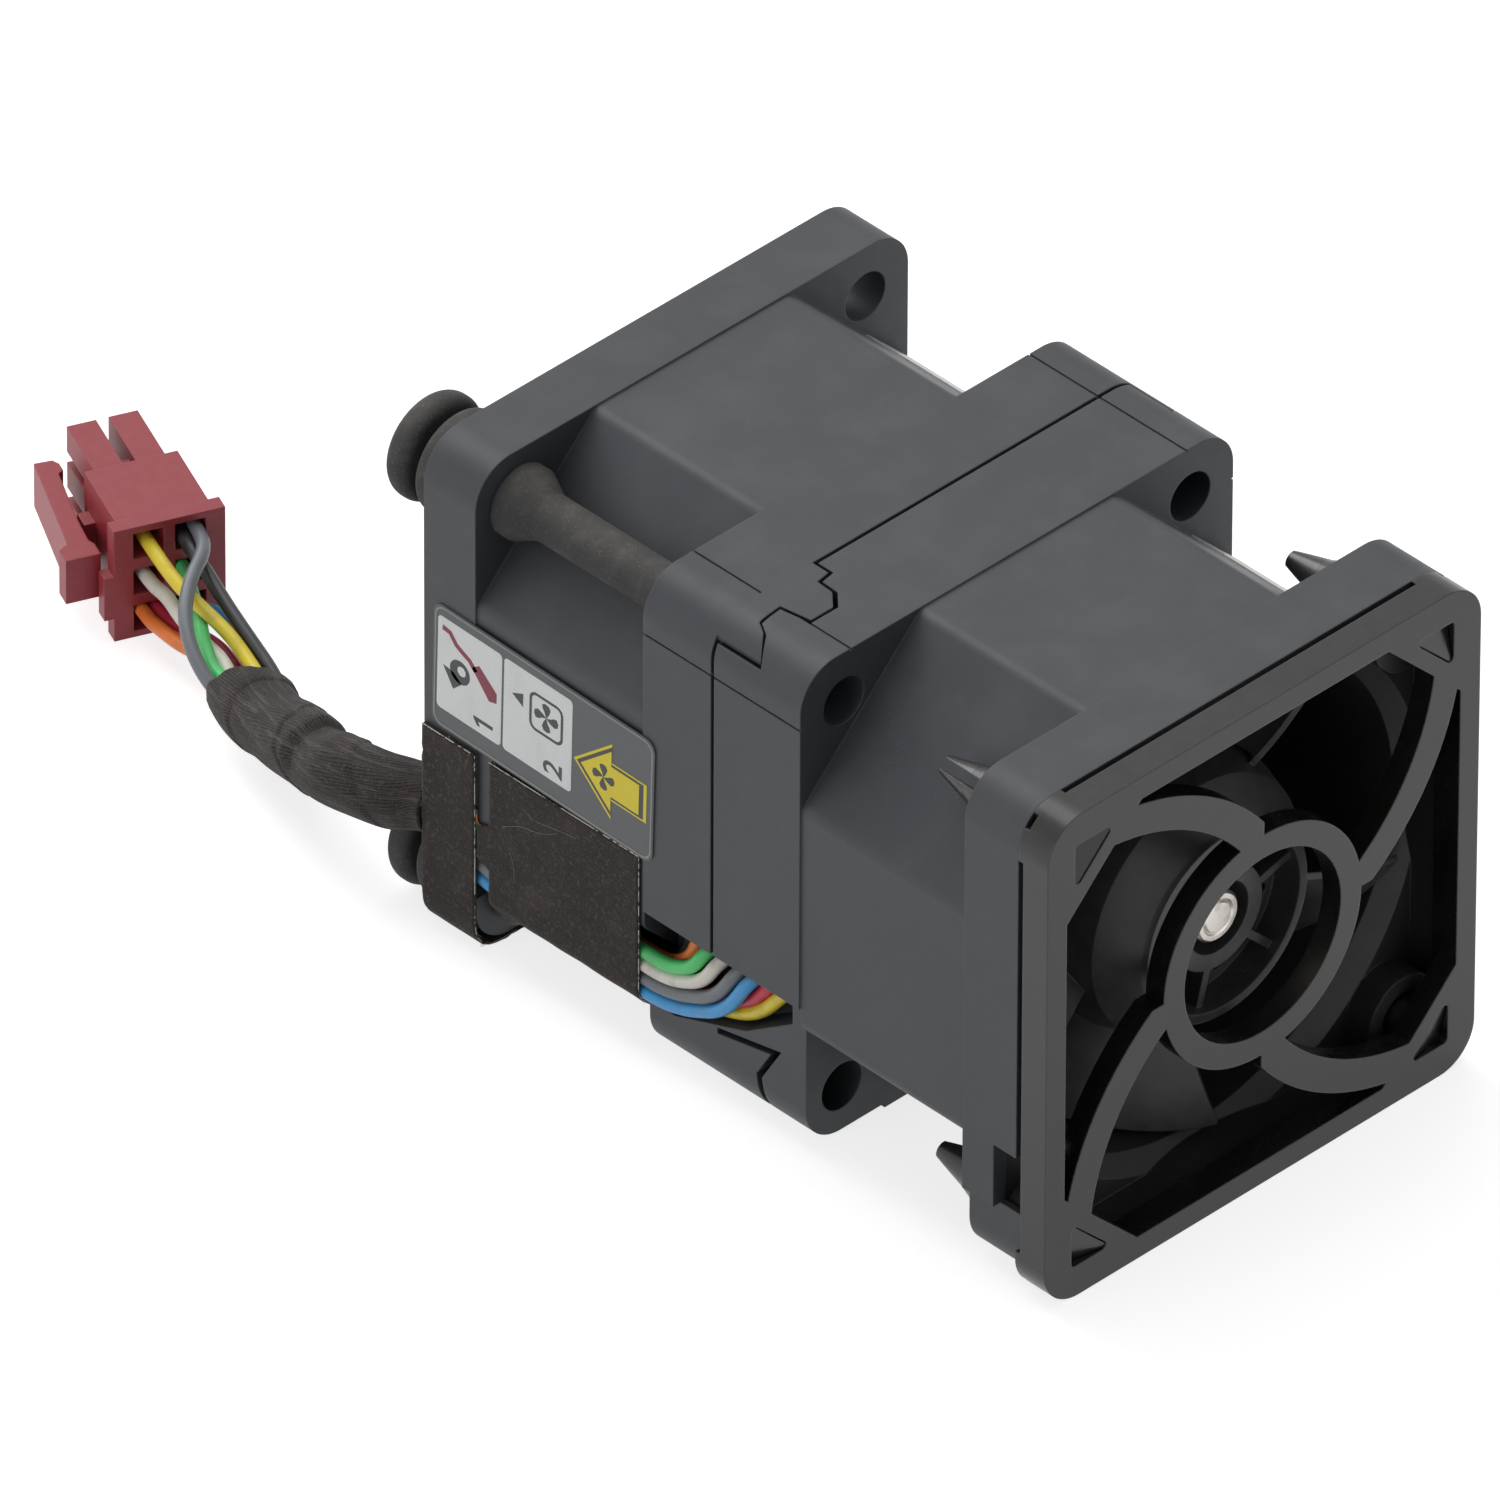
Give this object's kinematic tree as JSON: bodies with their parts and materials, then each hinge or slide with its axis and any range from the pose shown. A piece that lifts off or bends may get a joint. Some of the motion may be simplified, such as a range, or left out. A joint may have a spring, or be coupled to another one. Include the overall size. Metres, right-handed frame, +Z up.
{
  "type": "counter-rotating fan module",
  "caption": "Square tube-shaped server fan module with two rotors in line, an inlet finger guard, rubber isolators and a short taped harness with a latching plug.",
  "frame": {"origin": "underside, middle of the width, at the joint between the two fan frames", "axes": "+X right as seen from the inlet, +Y along the air from inlet to outlet, +Z up"},
  "size_m": [0.0429, 0.1076, 0.04],
  "materials": {
    "frame_plastic": "matte charcoal fibre-filled plastic",
    "guard_plastic": "satin charcoal plastic",
    "rotor_plastic": "matte black plastic",
    "rubber": "dusty dark grey rubber",
    "tape_cloth": "brown-black woven cloth tape",
    "sleeve_cloth": "brown-black cloth-taped sleeve",
    "sticker_film": "grey matte film with white panels",
    "blank_label": "plain satin white label",
    "magnet": "dull dark bonded magnet",
    "steel_yoke": "drawn plated steel",
    "shaft_steel": "ground steel",
    "bush_brass": "turned brass",
    "bearing_steel": "ground steel with shields",
    "lamination": "stacked electrical steel",
    "insulator": "natural nylon",
    "copper": "enamelled copper wire",
    "board": "green solder mask",
    "chip": "moulded black packages",
    "connector_red": "dusty red nylon",
    "terminal_tin": "tin-plated crimps",
    "wire_yellow": "smooth insulation",
    "wire_red": "smooth insulation",
    "wire_blue": "smooth insulation",
    "wire_grey": "smooth insulation",
    "wire_white": "smooth insulation",
    "wire_green": "smooth insulation",
    "wire_orange": "smooth insulation",
    "wire_black": "smooth insulation"
  },
  "bodies": {
    "frame": {"connector_housing": "connector_red", "connector_terminals": "terminal_tin", "finger_guard": "guard_plastic", "flange_tape": "tape_cloth", "front_bearing_spacer": "shaft_steel", "front_bearings": "bearing_steel", "front_board_components": "chip", "front_circuit_board": "board", "front_housing": "frame_plastic", "front_preload_washer": "shaft_steel", "front_side_label": "blank_label", "front_stator_core": "lamination", "front_stator_insulator": "insulator", "front_windings": "copper", "harness_sleeve": "sleeve_cloth", "isolator_bottom_left": "rubber", "isolator_top_left": "rubber", "lead_black_free": "wire_black", "lead_black_held": "wire_black", "lead_blue_free": "wire_blue", "lead_blue_held": "wire_blue", "lead_green_free": "wire_green", "lead_green_held": "wire_green", "lead_grey_free": "wire_grey", "lead_grey_held": "wire_grey", "lead_orange_free": "wire_orange", "lead_orange_held": "wire_orange", "lead_red_free": "wire_red", "lead_red_held": "wire_red", "lead_white_free": "wire_white", "lead_white_held": "wire_white", "lead_yellow_free": "wire_yellow", "lead_yellow_held": "wire_yellow", "pictogram_sticker": "sticker_film", "pocket_tape": "tape_cloth", "rear_bearing_spacer": "shaft_steel", "rear_bearings": "bearing_steel", "rear_board_components": "chip", "rear_circuit_board": "board", "rear_housing": "frame_plastic", "rear_preload_washer": "shaft_steel", "rear_side_label": "blank_label", "rear_stator_core": "lamination", "rear_stator_insulator": "insulator", "rear_windings": "copper"},
    "front_rotor": {"front_impeller": "rotor_plastic", "front_rotor_yoke": "steel_yoke", "front_magnet_ring": "magnet", "front_shaft": "shaft_steel", "front_hub_bush": "bush_brass", "front_retaining_ring": "shaft_steel"},
    "rear_rotor": {"rear_impeller": "rotor_plastic", "rear_rotor_yoke": "steel_yoke", "rear_magnet_ring": "magnet", "rear_shaft": "shaft_steel", "rear_hub_bush": "bush_brass", "rear_retaining_ring": "shaft_steel"},
    "latch": {"connector_latch": "connector_red"}
  },
  "joints": [
    {"name": "front_rotor_spin", "type": "hinge", "parent": "frame", "child": "front_rotor", "pos_m": [0, 0, 0.02], "axis": [0, 1, 0], "continuous": true},
    {"name": "rear_rotor_spin", "type": "hinge", "parent": "frame", "child": "rear_rotor", "pos_m": [0, 0, 0.02], "axis": [0, 1, 0], "continuous": true},
    {"name": "latch_press", "type": "hinge", "parent": "frame", "child": "latch", "pos_m": [-0.01202, 0.06982, 0.0046], "axis": [0, 0, 1], "range_deg": [0, 4], "stiffness_Nm_per_rad": 0.02}
  ]
}
